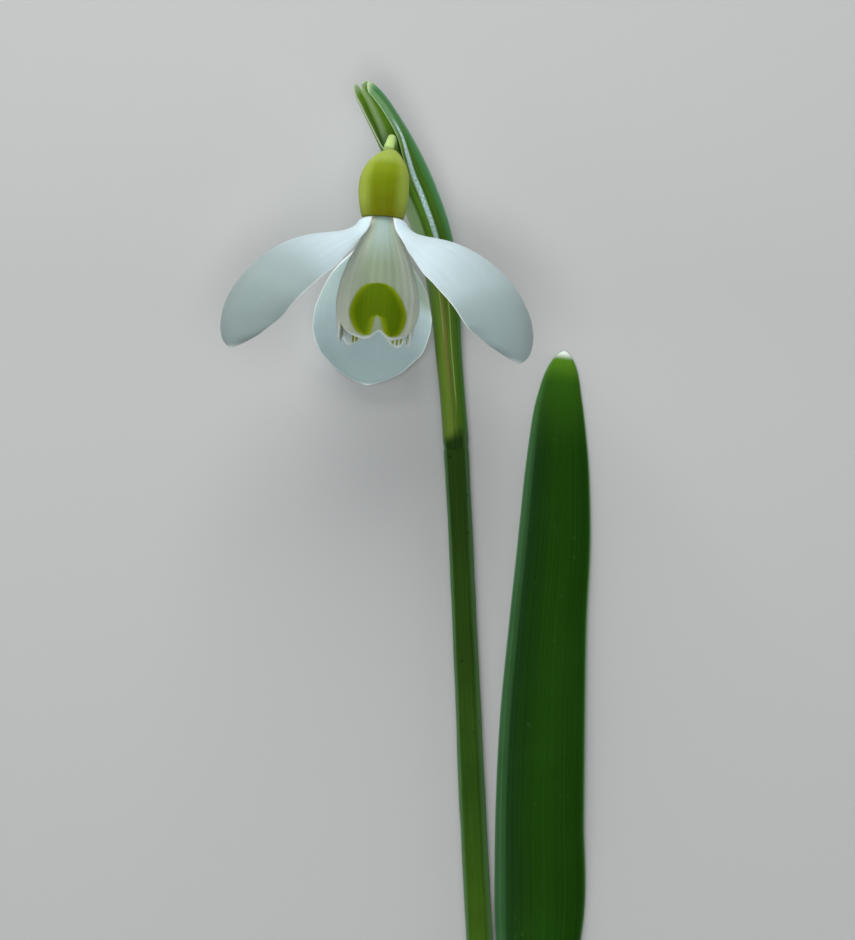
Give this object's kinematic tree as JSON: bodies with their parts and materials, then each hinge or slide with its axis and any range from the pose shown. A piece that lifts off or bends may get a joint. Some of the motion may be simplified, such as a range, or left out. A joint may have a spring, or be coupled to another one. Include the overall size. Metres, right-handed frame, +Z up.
{
  "type": "snowdrop flower",
  "caption": "Single nodding snowdrop on its leafless stalk with a spathe and one strap-shaped leaf, lying down as picked.",
  "frame": {"origin": "middle of the underside of the whole shoot's bounding box, on the table that it lies on", "axes": "+Y from the cut end of the stalk towards the flower, +X towards the leaf, +Z up from the table, which is the way the front of the flower faces"},
  "size_m": [0.0426, 0.1222, 0.0297],
  "materials": {
    "scape_green": "satin",
    "spathe_green": "satin",
    "pedicel_green": "satin",
    "ovary_green": "satin",
    "outer_white": "satin",
    "inner_white": "satin",
    "anther_orange": "matte",
    "style_white": "satin",
    "leaf_green": "satin",
    "sheath_pale": "satin"
  },
  "bodies": {
    "root": {"scape": "scape_green", "spathe": "spathe_green", "pedicel": "pedicel_green", "ovary": "ovary_green", "outer_tepal_left": "outer_white", "outer_tepal_right": "outer_white", "outer_tepal_back": "outer_white", "inner_tepal_front": "inner_white", "inner_tepal_left": "inner_white", "inner_tepal_right": "inner_white", "stamen_1": "anther_orange", "stamen_2": "anther_orange", "stamen_3": "anther_orange", "stamen_4": "anther_orange", "stamen_5": "anther_orange", "stamen_6": "anther_orange", "style": "style_white", "leaf": "leaf_green", "basal_sheath": "sheath_pale"}
  },
  "joints": []
}
